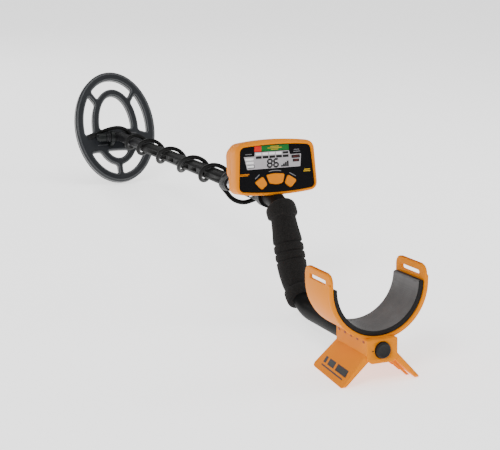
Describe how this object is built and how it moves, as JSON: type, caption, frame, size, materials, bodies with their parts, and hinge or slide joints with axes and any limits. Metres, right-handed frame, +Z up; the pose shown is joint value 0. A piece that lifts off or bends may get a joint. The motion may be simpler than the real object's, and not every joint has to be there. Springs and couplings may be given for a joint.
{
  "type": "metal detector",
  "caption": "Hand-held metal detector: bent telescoping stem with arm cuff and feet, foam grip, display box and a tilting elliptical search coil.",
  "frame": {"origin": "on the floor, under the centre of the bounding box, with the detector standing on the two feet of its arm cuff and on the rim of its coil", "axes": "+X to the right seen from the user, +Y forward from the arm cuff to the coil, +Z up"},
  "size_m": [0.165, 1.2008, 0.2388],
  "materials": {
    "housing_yellow": "moulded, semi-gloss",
    "black_plastic": "moulded, fine grain",
    "coil_grey": "moulded, satin",
    "stem_black": "black anodised or powder coated tube",
    "foam": "closed-cell foam",
    "pad_grey": "foam lining with a fabric face",
    "cable_black": "smooth cable jacket",
    "panel_black": "printed overlay",
    "screen_grey": "clear window over a grey display",
    "button_yellow": "silicone key",
    "steel": "bright",
    "copper": "enamelled copper winding",
    "board_green": "coated circuit board",
    "battery_sleeve": "printed sleeve",
    "rubber": "matt",
    "knob_grey": "moulded"
  },
  "bodies": {
    "frame": {"upper_stem": "stem_black", "end_plug": "black_plastic", "hand_grip": "foam", "middle_stem": "stem_black", "lock_spring": "steel", "front_shell": "housing_yellow", "rear_shell": "housing_yellow", "housing_gasket": "rubber", "face_panel": "panel_black", "lcd_window": "screen_grey", "lcd_module": "steel", "keypad_mat": "rubber", "circuit_board": "board_green", "speaker": "black_plastic", "battery_tray": "black_plastic", "battery_1": "battery_sleeve", "battery_2": "battery_sleeve", "battery_3": "battery_sleeve", "battery_4": "battery_sleeve", "headphone_socket": "steel", "coil_socket": "steel", "coil_plug": "rubber", "box_clamp": "black_plastic", "clamp_screw_1": "steel", "clamp_screw_2": "steel", "housing_screw_1": "steel", "housing_screw_2": "steel", "housing_screw_3": "steel", "housing_screw_4": "steel", "cable_box_loop": "cable_black", "cable_stem_wrap": "cable_black"},
    "cuff": {"arm_cuff": "housing_yellow", "cuff_pad": "pad_grey", "cuff_screw": "steel"},
    "lower_arm": {"lower_stem": "black_plastic", "stem_tip": "black_plastic", "adjust_spring": "steel", "hinge_washer_left": "rubber", "hinge_washer_right": "rubber", "cable_coil_lead": "cable_black"},
    "adjust_button": {"adjust_button": "steel"},
    "lock_button": {"lock_button": "steel"},
    "search_coil": {"coil_shell": "coil_grey", "coil_base": "coil_grey", "transmit_winding": "copper", "receive_winding": "copper", "cable_gland": "rubber", "hinge_bolt": "black_plastic", "knob_spacer": "black_plastic"},
    "coil_knob": {"coil_knob": "knob_grey"},
    "left_button": {"left_button": "button_yellow"},
    "middle_button": {"middle_button": "button_yellow"},
    "right_button": {"right_button": "button_yellow"},
    "battery_cover": {"battery_cover": "housing_yellow"},
    "plug_ring": {"plug_ring": "black_plastic"}
  },
  "joints": [
    {"name": "cuff_slide", "type": "slide", "parent": "frame", "child": "cuff", "axis": [0, 0.9963, -0.0854], "range_m": [-0.05, 0]},
    {"name": "stem_length", "type": "slide", "parent": "frame", "child": "lower_arm", "axis": [0, 0.9973, -0.0728], "range_m": [-0.1155, 0.1155], "deforming": ["cable_stem_wrap", "cable_coil_lead"]},
    {"name": "adjust_button_press", "type": "slide", "parent": "lower_arm", "child": "adjust_button", "axis": [1, 0, 0], "range_m": [0, 0.0032], "stiffness_N_per_m": 1200, "springref_m": -0.0015, "deforming": ["adjust_spring"]},
    {"name": "lock_button_press", "type": "slide", "parent": "frame", "child": "lock_button", "axis": [1, 0, 0], "range_m": [0, 0.0032], "stiffness_N_per_m": 1200, "springref_m": -0.0015, "deforming": ["lock_spring"]},
    {"name": "coil_tilt", "type": "hinge", "parent": "lower_arm", "child": "search_coil", "pos_m": [0, 0.5106, 0.09528], "axis": [1, 0, 0], "range_deg": [-70, 60], "deforming": ["cable_coil_lead"]},
    {"name": "coil_knob_turn", "type": "hinge", "parent": "search_coil", "child": "coil_knob", "pos_m": [0, 0.5106, 0.09528], "axis": [1, 0, 0], "continuous": true},
    {"name": "left_button_press", "type": "slide", "parent": "frame", "child": "left_button", "axis": [0, 0.9813, -0.1925], "range_m": [0, 0.0012], "stiffness_N_per_m": 900, "springref_m": -0.0006},
    {"name": "middle_button_press", "type": "slide", "parent": "frame", "child": "middle_button", "axis": [0, 0.9813, -0.1925], "range_m": [0, 0.0012], "stiffness_N_per_m": 900, "springref_m": -0.0006},
    {"name": "right_button_press", "type": "slide", "parent": "frame", "child": "right_button", "axis": [0, 0.9813, -0.1925], "range_m": [0, 0.0012], "stiffness_N_per_m": 900, "springref_m": -0.0006},
    {"name": "battery_cover_slide", "type": "slide", "parent": "frame", "child": "battery_cover", "axis": [0, 0.1925, 0.9813], "range_m": [0, 0.036]},
    {"name": "plug_ring_turn", "type": "hinge", "parent": "frame", "child": "plug_ring", "pos_m": [-0.039, -0.17947, 0.15773], "axis": [0, 0.9813, -0.1925], "continuous": true}
  ]
}
